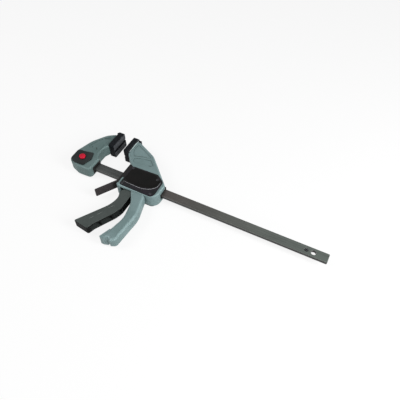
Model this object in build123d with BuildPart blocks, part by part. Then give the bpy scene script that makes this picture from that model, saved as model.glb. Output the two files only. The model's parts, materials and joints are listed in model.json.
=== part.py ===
from build123d import *

import os
from math import cos, radians, sin, tan

os.makedirs("parts", exist_ok=True)

# Quick release bar clamp, lying on its side.
# X runs along the bar from the fixed jaw to the free end, and X = 0 is the fixed clamping face.
# Y is the way the jaws reach, with Y = 0 on the bar's centre line. Z = 0 is the bar's middle plane.

# ---------------------------------------------------------------- driving dimensions, mm

# Capacity
capacity = 300.0  # widest opening between the pads
opening = 23.0  # opening as modelled

# Bar
bar_height = 18.0
bar_thickness = 6.5
bar_tail = 56.0  # behind the fixed clamping face
bar_corner = 1.5
bar_edge = 0.6
end_hole_diameter = 9.5
end_hole_inset = 26.0  # from the free end
stop_pin_diameter = 4.6
stop_pin_bore = 2.2
stop_pin_proud = 1.6
stop_to_hole = 12.5
stop_dimple_diameter = 8.0

# Clearances
bar_clearance = 0.25  # guides on the bar, each side
plate_clearance = 0.15  # jamming plates on the bar, each side
pin_clearance = 0.05  # trigger bore on its pin, radial
seat_clearance = 0.15  # inserts, covers and pads in their seats, each side
slot_clearance = 0.6  # moving plastic in its slot, each side

# Pads
pad_low = 50.0  # lower edge, from the bar's centre line
pad_length = 42.0
pad_width = 34.0
pad_thickness = 12.0
pad_corner = 3.0
pad_groove_width = 6.5
pad_groove_depth = 3.0
pad_bevel = 2.0
pad_rim = 5.0  # rubber round the jaw's boss, at the ends
pad_boss_height = 3.8
pad_boss_half_width = 12.0
pad_hook_length = 5.5
pad_hook_thickness = 2.8
pad_slit = 1.5
pad_slit_depth = 2.2

# Fixed jaw
fixed_jaw_half = 13.0  # half thickness
fixed_jaw_edge = 4.0
fixed_jaw_back = 62.5
fixed_jaw_front = 8.5
fixed_jaw_drop = 21.8  # below the bar's centre line
sleeve_wall = 3.0
sleeve_length = 17.0
sleeve_proud = 1.0

# Fixed jaw panels and latch
panel_length = 35.0
panel_width = 32.0
panel_corner = 3.0
panel_seat = 1.5  # depth of the seat in the jaw
panel_thickness = 3.0
panel_bevel = 1.0
latch_x = 40.0  # button's centre, behind the clamping face
latch_travel = 3.4
latch_bite = 3.0  # tooth's reach into the bar
latch_gap = 0.4  # yoke's play over the bar, pressed and released
yoke_length = 13.0
yoke_leg = 2.4
yoke_bridge = 2.2
latch_window_length = 18.0
button_diameter = 12.5
button_flange = 14.8
button_top = 17.6
button_spring_diameter = 8.0
button_spring_wire = 0.6

# Sliding body, measured from the moving clamping face
body_half = 15.0  # half thickness
body_edge = 4.0
body_wall = 3.0
body_front = 34.0
body_rear = 120.5
body_drop = 28.0  # below the bar's centre line, at the rear
body_front_drop = 30.0  # and at the front
body_front_top = 26.0  # where the front face turns towards the jaw
front_wall = 5.0
rear_wall = 13.0
handle_end = 140.0  # below the bar's centre line
grip_half = 12.0  # half thickness of the handle
grip_edge = 6.0
pocket_depth = 1.0  # moulded hollows in the casing's side
jaw_top = 89.0

# Inserts that guide the bar
front_guide_proud = 2.2
front_guide_half = 10.0
front_guide_top = 24.5
front_guide_drop = 25.0
front_cap_depth = 3.5  # of the guide's cap into the casing
front_cap_half = 14.6
front_cap_corner = 2.5
lever_slot_top = -14.8
lever_slot_clearance = 0.4
guide_flange = 1.4
guide_flange_rim = 1.5
rear_guide_half = 6.5
rear_guide_reach = 11.5

# Cover plates
cover_seat = 1.5
cover_shelf = 0.8  # shelf above the casing
plateau_height = 1.2  # plateau above the shelf
cover_bevel = 0.8
label_recess = 0.3

# Trigger, from the moving clamping face
trigger_half = 9.0
trigger_pivot_x = 65.0
trigger_pivot_y = 16.0
trigger_pin_diameter = 5.0
trigger_hub_diameter = 16.0
trigger_cheek_gap = 0.95  # cheek to bar, each side
trigger_edge = 1.4
trigger_wall = 3.0
trigger_mouth_front = 44.0
trigger_mouth_rear = 76.0
trigger_mouth_depth = 15.0
trigger_rib = 2.0
nose_radius = 4.0
nose_y = -14.0
nose_gap = 0.12

# Drive plates and their spring
drive_plate_thickness = 3.0
drive_plate_count = 2
drive_plate_reach = 16.5
drive_plate_half = 11.0
drive_spring_wire = 1.5
drive_spring_turns = 6.5
seat_washer_thickness = 1.4

# Brake plate, its spring and the release lever
brake_x = 47.5
brake_seat_y = 19.0
brake_tilt = 4.0  # degrees
brake_plate_thickness = 3.0
brake_plate_half = 8.0
brake_plate_length = 38.0
brake_spring_wire = 1.0
brake_spring_turns = 2.5
brake_seat_play = 0.2  # plate in its seat in the casing, radial
brake_rib = 2.5
brake_rib_x = 53.0
brake_rib_drop = 12.4  # below the bar's centre line
brake_seat_block = 8.5  # length along the bar
lever_half = 8.8
lever_thickness = 4.0
lever_root_low = -19.6  # underside where it passes the front guide
lever_socket_front = 41.2
lever_socket_rear = 48.6
lever_socket_high = -13.2
lever_socket_low = -21.6

# Screws
cover_screw_diameter = 2.6
cover_screw_head = 5.0
cover_screw_tip = 9.9  # tips' height above the middle plane
shell_screw_diameter = 3.3
shell_screw_head = 6.4
shell_screw_head_height = 2.4
shell_screw_head_z = -9.6
shell_screw_tip_z = 8.6
boss_diameter = 9.0
cover_boss_diameter = 7.0

# ---------------------------------------------------------------- derived places

body_rear_x = opening + body_rear
stop_pin_x = capacity + body_rear + stop_pin_diameter / 2
end_hole_x = stop_pin_x + stop_to_hole
bar_front = end_hole_x + end_hole_inset
bar_half = bar_thickness / 2
bar_reach = bar_height / 2
pad_top = pad_low + pad_length
pad_middle = pad_low + pad_length / 2
cavity_half = body_half - body_wall
cover_floor = body_half - cover_seat
cover_shelf_z = body_half + cover_shelf
cover_top = cover_shelf_z + plateau_height
trigger_slot_half = trigger_half + slot_clearance
drive_plate_x = trigger_pivot_x + 5.0 + nose_radius + nose_gap
drive_stack = drive_plate_count * drive_plate_thickness
rear_flange_x = body_rear - rear_wall - guide_flange
seat_washer_x = rear_flange_x - seat_washer_thickness
coil_radius = (bar_height**2 + bar_thickness**2) ** 0.5 / 2 + drive_spring_wire / 2 + 0.4

# Centres of the screws that join the two half casings, from the moving clamping face
body_screws_at = [(29.0, 66.0), (84.0, 31.5)]
grip_screws_at = [(92.0, -37.0), (100.0, -72.0), (91.0, -127.5)]
shell_screws_at = body_screws_at + grip_screws_at
cover_screws_at = [(45.0, 17.5), (101.5, 12.0), (45.0, -22.6), (106.0, -22.6)]
trigger_ribs_at = [(62.0, -62.0), (54.0, -82.0), (42.5, -102.0), (31.0, -121.0)]


def level(z):
    """Plane parallel to the clamp's side at height z, on the fixed clamping face."""
    return Plane.XY.offset(z)


def body_level(z):
    """Plane parallel to the clamp's side at height z, on the moving clamping face."""
    return Plane(origin=(opening, 0, z))


def body_section(x):
    """Plane across the bar, x behind the moving clamping face, with the sketch's x along Y."""
    return Plane(origin=(opening + x, 0, 0), x_dir=(0, 1, 0), z_dir=(1, 0, 0))


def section(x):
    """Plane across the bar at x, with the sketch's x along Y."""
    return Plane(origin=(x, 0, 0), x_dir=(0, 1, 0), z_dir=(1, 0, 0))


def bar_window(plane, depth, clearance):
    """Cuts the bar's passage through the part being built, from the plane onwards."""
    with BuildSketch(plane) as window:
        Rectangle(bar_height + 2 * clearance, bar_thickness + 2 * clearance)
    extrude(window.sketch, amount=depth, mode=Mode.SUBTRACT)


def outline(corners):
    """Closed face from (x, y, radius) corners."""
    with BuildLine() as border:
        FilletPolyline(*[c[:2] for c in corners], radius=[c[2] for c in corners], close=True)
    make_face(border.edges())


# ---------------------------------------------------------------- bar

with BuildPart() as bar:
    with BuildSketch(level(-bar_half)):
        with Locations(((bar_front - bar_tail) / 2, 0)):
            RectangleRounded(bar_front + bar_tail, bar_height, bar_corner)
    extrude(amount=bar_thickness)
    rims = bar.faces().filter_by(Axis.Z).edges()
    chamfer(rims, length=bar_edge)
    with Locations((end_hole_x, 0, bar_half), (-latch_x, 0, bar_half)):
        Hole(end_hole_diameter / 2, bar_thickness)
    with Locations((stop_pin_x, 0, bar_half)):
        CounterSinkHole(stop_pin_diameter / 2, stop_dimple_diameter / 2, bar_thickness, 120)
    with Locations(Location((stop_pin_x, 0, -bar_half), (180, 0, 0))):
        CounterSinkHole(stop_pin_diameter / 2, stop_dimple_diameter / 2, bar_thickness, 120)
bar.part.label = "bar"
export_step(bar.part, "parts/bar.step")

with BuildPart() as bar_stop_pin:
    with BuildSketch(level(-bar_half - stop_pin_proud)):
        with Locations((stop_pin_x, 0)):
            Circle(stop_pin_diameter / 2)
            Circle(stop_pin_bore / 2, mode=Mode.SUBTRACT)
    extrude(amount=bar_thickness + 2 * stop_pin_proud)
    chamfer(bar_stop_pin.edges().group_by(Axis.Z)[-1].sort_by(SortBy.RADIUS)[-1:], length=0.4)
    chamfer(bar_stop_pin.edges().group_by(Axis.Z)[0].sort_by(SortBy.RADIUS)[-1:], length=0.4)
bar_stop_pin.part.label = "bar_stop_pin"
export_step(bar_stop_pin.part, "parts/bar_stop_pin.step")

# ---------------------------------------------------------------- pads


def pad_part():
    """Rubber pad on a jaw at +X: clamping face at X = 0 looking to -X, recess for the jaw's boss behind."""
    with BuildPart() as pad:
        with BuildSketch(Plane.YZ):
            with Locations((pad_middle, 0)):
                RectangleRounded(pad_length, pad_width, pad_corner)
        extrude(amount=pad_thickness)
        low_rims = pad.edges().filter_by(Axis.X).group_by(Axis.Y)[0]
        chamfer(pad.faces().sort_by(Axis.X)[0].edges(), length=0.8)
        with BuildSketch(Plane.YZ.offset(pad_thickness)):
            with Locations((pad_middle, 0)):
                Rectangle(pad_length - 2 * pad_rim + 2 * seat_clearance,
                          2 * pad_boss_half_width + 2 * seat_clearance)
        extrude(amount=-pad_boss_height - seat_clearance, mode=Mode.SUBTRACT)
        with BuildSketch(Plane.XZ.offset(-pad_top)):
            with BuildLine():
                Polyline((0, pad_groove_width / 2), (pad_groove_depth, 0), (0, -pad_groove_width / 2), close=True)
            make_face()
        extrude(amount=pad_length, mode=Mode.SUBTRACT)
        with BuildSketch(Plane.YZ.offset(pad_thickness)):
            with Locations((pad_top - pad_hook_thickness / 2, 0)):
                Rectangle(pad_hook_thickness, 2 * pad_boss_half_width)
        extrude(amount=pad_hook_length)
        with BuildSketch(Plane.XZ.offset(-pad_low)):
            with Locations((pad_thickness - 2.6, 0)):
                Rectangle(pad_slit, pad_width - 3 * pad_corner)
        extrude(amount=-pad_slit_depth, mode=Mode.SUBTRACT)
        for side in (1, -1):
            with BuildSketch(Plane.YZ):
                with BuildLine():
                    Polyline((pad_low, side * (pad_width / 2 - pad_bevel)), (pad_low + pad_bevel, side * pad_width / 2),
                             (pad_low - 1, side * (pad_width / 2 + 1)), close=True)
                make_face()
            extrude(amount=pad_thickness, mode=Mode.SUBTRACT)
    return pad.part


with BuildPart() as moving_pad:
    with Locations((opening, 0, 0)):
        add(pad_part())
moving_pad.part.label = "moving_pad"
export_step(moving_pad.part, "parts/moving_pad.step")

with BuildPart() as fixed_pad:
    mirror(pad_part(), about=Plane.YZ)
fixed_pad.part.label = "fixed_pad"
export_step(fixed_pad.part, "parts/fixed_pad.step")

# ---------------------------------------------------------------- fixed jaw

sleeve_reach = bar_reach + sleeve_wall
sleeve_half = bar_half + sleeve_wall + 1.4
yoke_reach = bar_reach + bar_clearance + 0.4 + yoke_leg
panel_floor = fixed_jaw_half - panel_seat

with BuildPart() as fixed_jaw:
    with BuildSketch(level(-fixed_jaw_half)):
        outline([
            (-fixed_jaw_front, -fixed_jaw_drop, 8),
            (-fixed_jaw_front, 11, 4.5),
            (-17, 22, 12),
            (-17, 40, 10),
            (-pad_thickness, pad_low, 4.5),
            (-pad_thickness, jaw_top, 4.5),
            (-33, 76, 40),
            (-52, 47, 60),
            (-fixed_jaw_back, 14, 25),
            (-fixed_jaw_back, -14, 12),
            (-38, -fixed_jaw_drop - 1, 22),
        ])
    extrude(amount=2 * fixed_jaw_half)
    fillet(fixed_jaw.faces().filter_by(Axis.Z).edges(), radius=fixed_jaw_edge)
    with BuildSketch(section(-pad_thickness)):
        with Locations((pad_middle, 0)):
            Rectangle(pad_length - 2 * pad_rim, 2 * pad_boss_half_width)
    extrude(amount=-2)
    with BuildSketch(section(-pad_thickness)):
        with Locations((pad_middle, 0)):
            Rectangle(pad_length - 2 * pad_rim, 2 * pad_boss_half_width)
    extrude(amount=pad_boss_height)
    bar_window(section(-bar_tail - 1), bar_tail + 2, bar_clearance)
    with BuildSketch(section(-fixed_jaw_front)):
        Rectangle(2 * (sleeve_reach + seat_clearance), 2 * (sleeve_half + seat_clearance))
    extrude(amount=-sleeve_length + sleeve_proud, mode=Mode.SUBTRACT)
    with BuildSketch(level(-panel_floor)):
        with Locations((-latch_x, 0)):
            Rectangle(latch_window_length, 2 * yoke_reach + 2)
    extrude(amount=2 * panel_floor, mode=Mode.SUBTRACT)
    for face_z, inwards in ((fixed_jaw_half, -1), (-fixed_jaw_half, 1)):
        with BuildSketch(level(face_z)):
            with Locations((-latch_x - 2.5, -0.5)):
                RectangleRounded(panel_length + 2 * seat_clearance, panel_width + 2 * seat_clearance, panel_corner)
        extrude(amount=inwards * panel_seat, mode=Mode.SUBTRACT)
        with BuildSketch(level(face_z)):
            outline([(-21, 30, 2.5), (-21, 52, 4), (-19, 76, 2.5), (-33, 64, 8), (-44, 44, 8), (-48, 30, 2.5)])
        extrude(amount=inwards * 0.8, mode=Mode.SUBTRACT)
fixed_jaw.part.label = "fixed_jaw"
export_step(fixed_jaw.part, "parts/fixed_jaw.step")

with BuildPart() as fixed_jaw_sleeve:
    with BuildSketch(section(-fixed_jaw_front - sleeve_length + sleeve_proud)):
        Rectangle(2 * sleeve_reach, 2 * sleeve_half)
    extrude(amount=sleeve_length)
    chamfer(fixed_jaw_sleeve.faces().sort_by(Axis.X)[-1].edges(), length=0.6)
    bar_window(section(-fixed_jaw_front - sleeve_length), sleeve_length + 2, bar_clearance)
fixed_jaw_sleeve.part.label = "fixed_jaw_sleeve"
export_step(fixed_jaw_sleeve.part, "parts/fixed_jaw_sleeve.step")


def panel(side, thickness):
    """Black panel in the jaw's face, on the upper (1) or lower (-1) side."""
    with BuildPart() as plate:
        with BuildSketch(level(side * panel_floor)):
            with Locations((-latch_x - 2.5, -0.5)):
                RectangleRounded(panel_length, panel_width, panel_corner)
        extrude(amount=side * thickness)
        outer = plate.faces().sort_by(Axis.Z)[-1 if side > 0 else 0]
        chamfer(outer.edges(), length=panel_bevel)
    return plate.part


with BuildPart() as fixed_jaw_panel:
    add(panel(1, panel_thickness))
    with BuildSketch(level(panel_floor)):
        with Locations((-latch_x, 0)):
            Circle(button_diameter / 2 + seat_clearance)
    extrude(amount=panel_thickness, mode=Mode.SUBTRACT)
fixed_jaw_panel.part.label = "fixed_jaw_panel"
export_step(fixed_jaw_panel.part, "parts/fixed_jaw_panel.step")

with BuildPart() as fixed_jaw_back_panel:
    add(panel(-1, panel_seat))
fixed_jaw_back_panel.part.label = "fixed_jaw_back_panel"
export_step(fixed_jaw_back_panel.part, "parts/fixed_jaw_back_panel.step")

# ---------------------------------------------------------------- latch in the fixed jaw

yoke_top_low = bar_half + latch_travel + latch_gap
yoke_top_high = yoke_top_low + yoke_bridge
yoke_floor_high = -bar_half - latch_gap
yoke_floor_low = yoke_floor_high - yoke_bridge

with BuildPart() as latch_yoke:
    with BuildSketch(level(yoke_floor_low)):
        with Locations((-latch_x, 0)):
            Rectangle(yoke_length, 2 * yoke_reach)
    extrude(amount=yoke_top_high - yoke_floor_low)
    with BuildSketch(level(yoke_floor_high)):
        with Locations((-latch_x, 0)):
            Rectangle(yoke_length, 2 * (yoke_reach - yoke_leg))
    extrude(amount=yoke_top_low - yoke_floor_high, mode=Mode.SUBTRACT)
    with BuildSketch(level(yoke_floor_high)):
        with Locations((-latch_x, 0)):
            Circle(end_hole_diameter / 2 - bar_clearance)
    extrude(amount=latch_bite + latch_gap)
    chamfer(latch_yoke.edges().filter_by(Axis.X).group_by(Axis.Z)[-1], length=0.5)
latch_yoke.part.label = "latch_yoke"
export_step(latch_yoke.part, "parts/latch_yoke.step")

with BuildPart() as jaw_button:
    with BuildSketch(level(yoke_top_high)):
        with Locations((-latch_x, 0)):
            Circle(button_flange / 2)
    extrude(amount=panel_floor - seat_clearance - yoke_top_high)
    with BuildSketch(level(yoke_top_high)):
        with Locations((-latch_x, 0)):
            Circle(button_diameter / 2)
    extrude(amount=button_top - yoke_top_high)
    fillet(jaw_button.faces().sort_by(Axis.Z)[-1].edges(), radius=1.0)
jaw_button.part.label = "jaw_button"
export_step(jaw_button.part, "parts/jaw_button.step")


def coil(start, direction, radius, wire, turns, length):
    """Coil spring of round wire, from start along direction, with its length taken over the wire."""
    travel = length - wire
    with BuildPart() as spring:
        with BuildLine() as centre_line:
            Helix(travel / turns, travel, radius, center=start, direction=direction)
        with BuildSketch(centre_line.line ^ 0):
            Circle(wire / 2)
        sweep(is_frenet=True)
    return spring.part


button_spring_low = -panel_floor
button_spring_length = yoke_floor_low - button_spring_low
with BuildPart() as button_spring:
    add(coil((-latch_x, 0, button_spring_low + button_spring_wire / 2), (0, 0, 1),
             (button_spring_diameter - button_spring_wire) / 2, button_spring_wire, 2.5, button_spring_length - 0.1))
button_spring.part.label = "button_spring"
export_step(button_spring.part, "parts/button_spring.step")

# ---------------------------------------------------------------- half casings of the sliding body

body_outline = [
    (pad_thickness, jaw_top, 4.5),
    (25, 83.5, 14),
    (62, 65.5, 40),
    (body_rear, 8, 9),
    (body_rear, -body_drop, 16),
    (body_front, -body_front_drop, 6),
    (body_front, body_front_top, 4),
    (pad_thickness, 49, 10),
]
grip_outline = [
    (94.6, -18, 0),
    (108.5, -71, 60),
    (103.5, -handle_end + 6, 7),
    (94, -handle_end + 1, 3),
    (89.5, -handle_end + 4.5, 2),
    (75.5, -handle_end - 2.5, 3.5),
    (88.3, -88, 45),
    (81.5, -53, 25),
    (62, -22, 0),
]
cavity_low = -25.5
cavity_high = 25.2
rib_high = cavity_high + 0.3
brake_seat_low = brake_seat_y - 1.2
body_cavity = [
    (body_front + front_wall, cavity_low, 0.4),
    (body_front + front_wall, cavity_high, 1),
    (87, cavity_high, 2),
    (body_rear - rear_wall, 13.5, 0.4),
    (body_rear - rear_wall, cavity_low, 1),
]
jaw_cavity = [(17, 54, 2), (17, 79, 2), (25, 77.5, 3), (59, 61, 3), (90, 30.5, 2), (88, 28.7, 1), (30, 28.7, 2)]
handle_cavity = [
    (70, -24, 0),
    (93.5, -24, 2),
    (105, -71, 60),
    (100.6, -130.5, 4),
    (93.5, -134.3, 2),
    (88.8, -131, 2),
    (80.8, -134, 2),
    (91.8, -98, 4),
    (80, -95, 0),
    (60, -38, 0),
    (60, -24, 0),
]
jaw_pocket = [(18, 61, 2.5), (18, 79, 3), (25, 76, 8), (58, 60, 3), (62, 56, 2.5), (42, 51.5, 20), (27, 46.5, 3)]
lower_pocket = [(34, 33, 3), (30, 42, 3), (42, 47, 20), (64, 52, 3), (76, 41, 2.5), (70, 36.5, 2.5), (52, 33, 10)]
cover_outline = [(41, 22.5, 4), (96, 24.5, 12), (113.5, 13, 8), (114.3, -27.3, 9), (41, -27.3, 5)]

with BuildPart() as half_grip:
    with BuildSketch(body_level(0)):
        outline(grip_outline)
    extrude(amount=grip_half)
    fillet(half_grip.faces().sort_by(Axis.Z)[-1].edges(), radius=grip_edge)

with BuildPart() as half_casing:
    with BuildSketch(body_level(0)):
        outline(body_outline)
    extrude(amount=body_half)
    fillet(half_casing.faces().sort_by(Axis.Z)[-1].edges(), radius=body_edge)
    add(half_grip.part)
    with BuildSketch(body_level(0)):
        with Locations((pad_thickness - pad_boss_height / 2 + 1, pad_middle)):
            Rectangle(pad_boss_height + 2, pad_length - 2 * pad_rim)
    extrude(amount=pad_boss_half_width)
    for hollow in (body_cavity, jaw_cavity, handle_cavity):
        with BuildSketch(body_level(0)):
            outline(hollow)
        extrude(amount=trigger_slot_half if hollow is handle_cavity else cavity_half, mode=Mode.SUBTRACT)
    with BuildSketch(body_level(0)):
        with Locations(((trigger_mouth_front + trigger_mouth_rear) / 2, cavity_low - trigger_mouth_depth / 2)):
            Rectangle(trigger_mouth_rear - trigger_mouth_front, trigger_mouth_depth)
    extrude(amount=trigger_slot_half, mode=Mode.SUBTRACT)
    for pocket in (jaw_pocket, lower_pocket):
        with BuildSketch(body_level(body_half)):
            outline(pocket)
        extrude(amount=-pocket_depth, mode=Mode.SUBTRACT)
    with BuildSketch(body_level(body_half)):
        outline(cover_outline)
        offset(amount=seat_clearance)
    extrude(amount=-cover_seat, mode=Mode.SUBTRACT)
    # rib behind the brake spring and seat over the brake plate
    with BuildSketch(body_level(0)):
        with Locations((brake_rib_x + brake_rib / 2, (rib_high - brake_rib_drop) / 2)):
            Rectangle(brake_rib, rib_high + brake_rib_drop)
    extrude(amount=cavity_half + 0.5)
    with BuildSketch(body_level(0)):
        with Locations((brake_x, (rib_high + brake_seat_low) / 2)):
            Rectangle(brake_seat_block, rib_high - brake_seat_low)
        with Locations((brake_x, brake_seat_y)):
            Circle(brake_plate_thickness / 2 + brake_seat_play, mode=Mode.SUBTRACT)
        with Locations((brake_x, brake_seat_y - 2)):
            Rectangle(brake_plate_thickness + 2 * brake_seat_play, 4, mode=Mode.SUBTRACT)
    extrude(amount=cavity_half + 0.5)
    # bosses round the screws and the trigger pin
    with BuildSketch(body_level(0)):
        with Locations(*body_screws_at):
            Circle(boss_diameter / 2)
    extrude(amount=cavity_half + 0.5)
    with BuildSketch(body_level(0)):
        with Locations(*grip_screws_at):
            Circle(boss_diameter / 2)
    extrude(amount=trigger_slot_half + 0.5)
    with BuildSketch(body_level(9.5)):
        with Locations(*cover_screws_at):
            Circle(cover_boss_diameter / 2)
    extrude(amount=cavity_half + 0.5 - 9.5)
    with BuildSketch(body_level(trigger_half + 0.6)):
        with Locations((trigger_pivot_x, trigger_pivot_y)):
            Circle(boss_diameter / 2 + 1)
    extrude(amount=cavity_half - trigger_half)
    with BuildSketch(body_level(0)):
        with Locations((trigger_pivot_x, trigger_pivot_y)):
            Circle(trigger_pin_diameter / 2 + 0.01)
    extrude(amount=cover_floor, mode=Mode.SUBTRACT)
    with Locations(*[(opening + x, y, cover_top) for x, y in cover_screws_at]):
        Cylinder(cover_screw_diameter / 2 + 0.03, 2 * (cover_top - cover_screw_tip + 0.3), mode=Mode.SUBTRACT)
    # windows for the guides
    with BuildSketch(body_section(body_front - 1)):
        with Locations(((front_guide_top - front_guide_drop) / 2, 0)):
            Rectangle(front_guide_top + front_guide_drop + 2 * seat_clearance,
                      2 * (front_guide_half + seat_clearance))
    extrude(amount=front_wall + 2, mode=Mode.SUBTRACT)
    with BuildSketch(body_section(body_front - 1)):
        with Locations(((front_guide_top - front_guide_drop) / 2, 0)):
            Rectangle(front_guide_top + front_guide_drop + 2 * seat_clearance, 2 * body_half + 2)
    extrude(amount=front_cap_depth + seat_clearance + 1, mode=Mode.SUBTRACT)
    with BuildSketch(body_section(body_rear - rear_wall - 1)):
        Rectangle(2 * (rear_guide_reach + seat_clearance), 2 * (rear_guide_half + seat_clearance))
    extrude(amount=rear_wall + 2, mode=Mode.SUBTRACT)
    bar_window(body_section(brake_rib_x - 1), brake_rib + 2, 2 * bar_clearance)

with BuildPart() as upper_shell:
    add(half_casing.part)
    with BuildSketch(body_level(0)):
        with Locations(*shell_screws_at):
            Circle(shell_screw_diameter / 2 + 0.03)
    extrude(amount=shell_screw_tip_z + 0.3, mode=Mode.SUBTRACT)
upper_shell.part.label = "upper_shell"
export_step(upper_shell.part, "parts/upper_shell.step")

with BuildPart() as lower_shell:
    mirror(half_casing.part, about=Plane.XY)
    with BuildSketch(body_level(-body_half)):
        with Locations(*shell_screws_at):
            Circle(shell_screw_head / 2 + seat_clearance)
    extrude(amount=body_half + shell_screw_head_z + shell_screw_head_height, mode=Mode.SUBTRACT)
    with BuildSketch(body_level(-body_half)):
        with Locations(*shell_screws_at):
            Circle(shell_screw_diameter / 2 + 0.2)
    extrude(amount=body_half, mode=Mode.SUBTRACT)
lower_shell.part.label = "lower_shell"
export_step(lower_shell.part, "parts/lower_shell.step")

with BuildPart() as shell_screws:
    with BuildSketch(body_level(shell_screw_head_z)):
        with Locations(*shell_screws_at):
            Circle(shell_screw_head / 2)
    extrude(amount=shell_screw_head_height)
    with BuildSketch(body_level(shell_screw_head_z)):
        with Locations(*shell_screws_at):
            RegularPolygon(1.7, 6)
    extrude(amount=1.5, mode=Mode.SUBTRACT)
    with BuildSketch(body_level(shell_screw_head_z + shell_screw_head_height)):
        with Locations(*shell_screws_at):
            Circle(shell_screw_diameter / 2)
    extrude(amount=shell_screw_tip_z - shell_screw_head_z - shell_screw_head_height)
shell_screws.part.label = "shell_screws"
export_step(shell_screws.part, "parts/shell_screws.step")

# ---------------------------------------------------------------- covers and their screws

plateau = [(43, 20, 3), (94, 22, 10), (108.5, 12, 7), (108.5, -6, 12), (43, -14.5, 3)]
label_field = [(49, 15, 2), (93, 16.5, 3), (97, 13, 3), (97, -3, 4), (49, -8.5, 2)]


def cover(side):
    """Black cover plate on the upper (1) or lower (-1) side."""
    outer = -1 if side > 0 else 0
    with BuildPart() as plate:
        with BuildSketch(body_level(side * cover_floor)):
            outline(cover_outline)
        extrude(amount=side * (cover_shelf_z - cover_floor))
        chamfer(plate.faces().sort_by(Axis.Z)[outer].edges(), length=cover_bevel - 0.2)
        with BuildSketch(body_level(side * cover_shelf_z)):
            outline(plateau)
        extrude(amount=side * plateau_height)
        chamfer(plate.faces().sort_by(Axis.Z)[outer].edges(), length=cover_bevel)
        with BuildSketch(body_level(side * cover_top)):
            outline(label_field)
        extrude(amount=-side * label_recess, mode=Mode.SUBTRACT)
        for x, y in cover_screws_at:
            top = cover_screw_head_top(y)
            with BuildSketch(body_level(side * cover_floor)):
                with Locations((x, y)):
                    Circle(cover_screw_diameter / 2 + 0.1)
            extrude(amount=side * (top - cover_floor + 0.5), mode=Mode.SUBTRACT)
            with BuildSketch(body_level(side * (top - 1.2))):
                with Locations((x, y)):
                    Circle(cover_screw_head / 2 + 0.1)
            extrude(amount=side * 2.2, mode=Mode.SUBTRACT)
    return plate.part


def cover_screw_head_top(y):
    """Height of a cover screw's head: on the plateau, or on the lower shelf."""
    return cover_top if y > 0 else cover_shelf_z


with BuildPart() as upper_cover:
    add(cover(1))
upper_cover.part.label = "upper_cover"
export_step(upper_cover.part, "parts/upper_cover.step")

with BuildPart() as lower_cover:
    add(cover(-1))
lower_cover.part.label = "lower_cover"
export_step(lower_cover.part, "parts/lower_cover.step")

with BuildPart() as cover_screws:
    for side in (1, -1):
        for x, y in cover_screws_at:
            top = cover_screw_head_top(y)
            with BuildSketch(body_level(side * (top - 1.2))):
                with Locations((x, y)):
                    Circle(cover_screw_head / 2)
            extrude(amount=side * 1.1)
            with BuildSketch(body_level(side * cover_screw_tip)):
                with Locations((x, y)):
                    Circle(cover_screw_diameter / 2)
            extrude(amount=side * (top - 0.6 - cover_screw_tip))
            with BuildSketch(body_level(side * (top - 0.1))):
                with Locations((x, y)):
                    RegularPolygon(1.2, 6)
            extrude(amount=-side * 0.8, mode=Mode.SUBTRACT)
cover_screws.part.label = "cover_screws"
export_step(cover_screws.part, "parts/cover_screws.step")

# ---------------------------------------------------------------- guides on the bar

front_guide_length = front_wall + front_guide_proud + guide_flange

with BuildPart() as front_guide:
    with BuildSketch(body_section(body_front - front_guide_proud)):
        with Locations(((front_guide_top - front_guide_drop) / 2, 0)):
            RectangleRounded(front_guide_top + front_guide_drop, 2 * front_cap_half, front_cap_corner)
    extrude(amount=front_cap_depth + front_guide_proud)
    chamfer(front_guide.faces().sort_by(Axis.X)[0].edges(), length=1.2)
    with BuildSketch(body_section(body_front)):
        with Locations(((front_guide_top - front_guide_drop) / 2, 0)):
            Rectangle(front_guide_top + front_guide_drop, 2 * front_guide_half)
    extrude(amount=front_wall)
    with BuildSketch(body_section(body_front + front_wall)):
        with Locations(((front_guide_top - front_guide_drop) / 2, 0)):
            Rectangle(front_guide_top + front_guide_drop, 2 * (front_guide_half + guide_flange_rim))
    extrude(amount=guide_flange)
    bar_window(body_section(body_front - front_guide_proud - 1), front_guide_length + 2, bar_clearance)
    with BuildSketch(body_section(body_front - front_guide_proud - 1)):
        with Locations((lever_slot_top - front_guide_drop / 2, 0)):
            Rectangle(front_guide_drop, 2 * (lever_half + lever_slot_clearance))
    extrude(amount=front_guide_length + 2, mode=Mode.SUBTRACT)
front_guide.part.label = "front_guide"
export_step(front_guide.part, "parts/front_guide.step")

with BuildPart() as rear_guide:
    with BuildSketch(body_section(body_rear - rear_wall)):
        Rectangle(2 * rear_guide_reach, 2 * rear_guide_half)
    extrude(amount=rear_wall - 0.4)
    with BuildSketch(body_section(rear_flange_x)):
        Rectangle(2 * (rear_guide_reach + guide_flange_rim), 2 * (cavity_half - 0.4))
    extrude(amount=guide_flange)
    bar_window(body_section(rear_flange_x - 1), rear_wall + guide_flange + 2, bar_clearance)
rear_guide.part.label = "rear_guide"
export_step(rear_guide.part, "parts/rear_guide.step")

# ---------------------------------------------------------------- drive plates, spring and seat

with BuildPart() as drive_plates:
    for index in range(drive_plate_count):
        x = drive_plate_x + index * drive_plate_thickness
        with BuildSketch(body_section(x)):
            RectangleRounded(2 * drive_plate_reach, 2 * drive_plate_half, 2)
            Rectangle(bar_height + 2 * plate_clearance, bar_thickness + 2 * plate_clearance, mode=Mode.SUBTRACT)
        extrude(amount=drive_plate_thickness - 0.02, mode=Mode.ADD)
drive_plates.part.label = "drive_plates"
export_step(drive_plates.part, "parts/drive_plates.step")

with BuildPart() as spring_seat:
    with BuildSketch(body_section(seat_washer_x)):
        Circle(cavity_half - 0.4)
        Rectangle(bar_height + 2 * bar_clearance, bar_thickness + 2 * bar_clearance, mode=Mode.SUBTRACT)
    extrude(amount=seat_washer_thickness)
spring_seat.part.label = "spring_seat"
export_step(spring_seat.part, "parts/spring_seat.step")

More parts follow.
